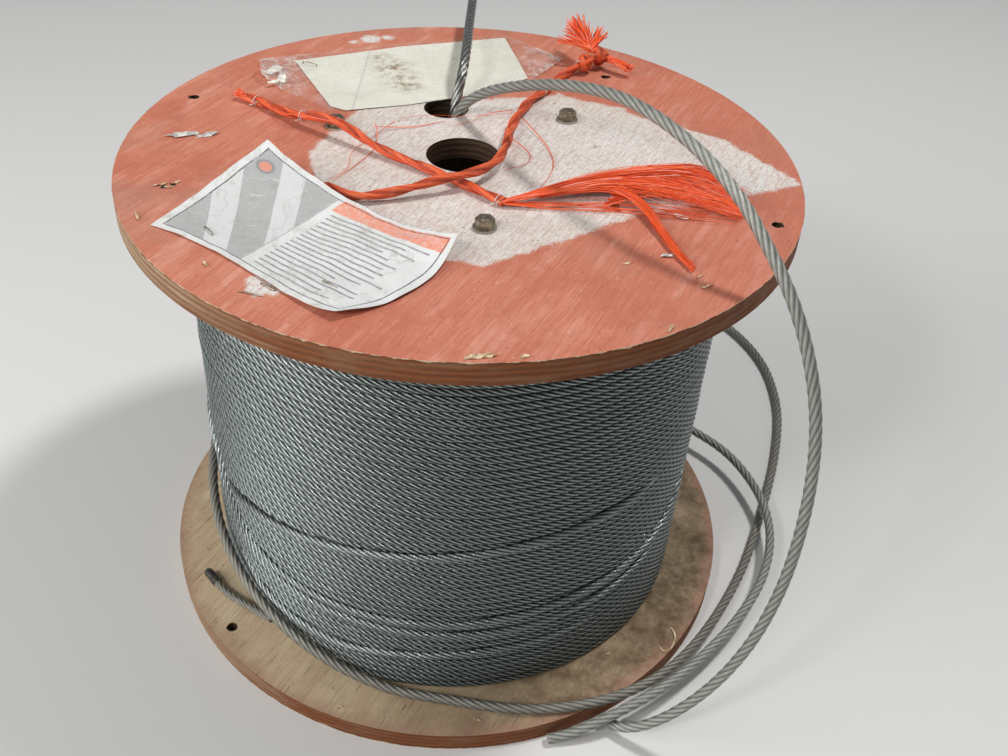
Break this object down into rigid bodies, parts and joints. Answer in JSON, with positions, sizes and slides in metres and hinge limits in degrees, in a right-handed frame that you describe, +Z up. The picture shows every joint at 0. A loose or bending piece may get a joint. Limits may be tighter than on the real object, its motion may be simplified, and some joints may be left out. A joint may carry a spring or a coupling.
{
  "type": "wooden cable drum",
  "caption": "Plywood drum holding a winding of galvanised steel wire rope, with loose rope ends, orange twine, a paper tag and a document pouch on its top flange.",
  "frame": {"origin": "centre of the bottom flange's underside, on the floor", "axes": "+Z up along the drum's axis; -Y towards the viewer of the picture, +X to the right"},
  "size_m": [0.5071, 0.5752, 0.3926],
  "materials": {
    "painted_ply": "red-stained plywood, worn, with a raw patch",
    "raw_ply": "raw plywood with a red-stained rim",
    "barrel_board": "spiral-wound board",
    "zinc_steel": "zinc-plated",
    "wire_rope": "dull galvanised wire rope",
    "tag_paper": "coated paper, creased",
    "orange_twine": "frayed polypropylene twine",
    "clear_film": "clear crumpled film"
  },
  "bodies": {
    "root": {"top_flange": "painted_ply", "bottom_flange": "raw_ply", "barrel_tube": "barrel_board", "rope_winding": "wire_rope", "tie_bolt_1": "zinc_steel", "tie_bolt_2": "zinc_steel", "tie_bolt_3": "zinc_steel", "washer_1": "zinc_steel", "washer_2": "zinc_steel", "washer_3": "zinc_steel", "nut_1": "zinc_steel", "nut_2": "zinc_steel", "nut_3": "zinc_steel", "paper_tag": "tag_paper", "clear_pouch": "clear_film", "packing_slip": "tag_paper", "rope_over_rim": "wire_rope", "rope_inner_end": "wire_rope", "loose_turn_low": "wire_rope", "loose_turn_high": "wire_rope", "rope_tail": "wire_rope", "twine_left": "orange_twine", "twine_right": "orange_twine", "twine_knot": "orange_twine", "twine_fan": "orange_twine"}
  },
  "joints": []
}
